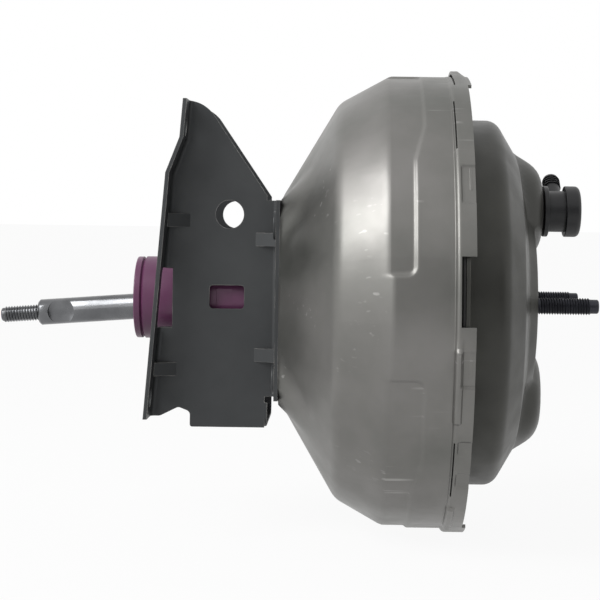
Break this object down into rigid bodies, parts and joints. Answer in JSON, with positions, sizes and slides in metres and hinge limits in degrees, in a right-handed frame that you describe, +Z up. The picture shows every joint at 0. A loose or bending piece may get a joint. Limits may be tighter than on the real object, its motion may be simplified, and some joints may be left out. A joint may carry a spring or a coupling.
{
  "type": "brake booster",
  "caption": "Vacuum brake booster: round pressed steel housing with locking rim, channel bracket to the firewall, threaded pedal push rod, front studs and check valve",
  "frame": {"origin": "on the booster axis, in the plane of the master cylinder seat, midway between the two studs", "axes": "+X forward along the booster axis towards the master cylinder, +Z up as installed, +Y to the left of +X"},
  "size_m": [0.3629, 0.2826, 0.283],
  "materials": {
    "rear_shell_steel": "satin plated sheet steel with fine scratches",
    "front_shell_paint": "dark grey satin coating",
    "bracket_paint": "dark grey satin coating, lighter at the sheet's edges",
    "dark_steel": "dark phosphate",
    "plated_steel": "zinc plated",
    "zinc_steel": "bright zinc plated, turned",
    "spring_steel": "oiled spring wire",
    "purple_plastic": "moulded, slightly glossy purple",
    "black_plastic": "moulded black",
    "black_rubber": "black rubber",
    "filter_felt": "grey felt and foam"
  },
  "bodies": {
    "housing": {"rear_shell": "rear_shell_steel", "front_shell": "front_shell_paint", "mounting_bracket": "bracket_paint", "bracket_rivets": "bracket_paint", "master_cylinder_studs": "dark_steel", "stud_plate": "plated_steel", "front_seal": "black_rubber", "rear_seal": "black_rubber", "rear_seal_retainer": "black_plastic", "check_valve_grommet": "black_rubber", "diaphragm": "black_rubber", "return_spring": "spring_steel"},
    "power_piston": {"valve_body": "purple_plastic", "diaphragm_plate": "plated_steel", "spring_seat": "plated_steel", "reaction_disc": "black_rubber", "output_rod": "plated_steel", "adjusting_screw": "plated_steel", "air_filter": "filter_felt", "air_silencer": "filter_felt", "poppet_valve": "black_rubber", "poppet_spring": "spring_steel", "poppet_retainer": "plated_steel", "rod_return_spring": "spring_steel"},
    "air_valve": {"air_valve_plunger": "plated_steel", "valve_key": "plated_steel"},
    "push_rod": {"push_rod": "zinc_steel"},
    "check_valve": {"check_valve_body": "black_plastic", "check_valve_cap": "black_plastic", "check_valve_spring": "spring_steel"},
    "check_disc": {"check_valve_disc": "black_rubber"}
  },
  "joints": [
    {"name": "power_piston_slide", "type": "slide", "parent": "housing", "child": "power_piston", "axis": [1, 0, 0], "range_m": [0, 0.038], "stiffness_N_per_m": 1500, "springref_m": -0.08, "deforming": ["diaphragm", "return_spring"]},
    {"name": "air_valve_slide", "type": "slide", "parent": "power_piston", "child": "air_valve", "axis": [1, 0, 0], "range_m": [0, 0.002], "stiffness_N_per_m": 2500, "springref_m": -0.004, "deforming": ["rod_return_spring"]},
    {"name": "push_rod_tilt", "type": "hinge", "parent": "air_valve", "child": "push_rod", "pos_m": [-0.1668, 0, 0], "axis": [0, 1, 0], "range_deg": [0, 8.78]},
    {"name": "check_valve_swivel", "type": "hinge", "parent": "housing", "child": "check_valve", "pos_m": [0.0077, 0, 0.0565], "axis": [1, 0, 0], "continuous": true},
    {"name": "check_disc_slide", "type": "slide", "parent": "check_valve", "child": "check_disc", "axis": [1, 0, 0], "range_m": [0, 0.002], "stiffness_N_per_m": 60, "springref_m": -0.004, "deforming": ["check_valve_spring"]}
  ]
}
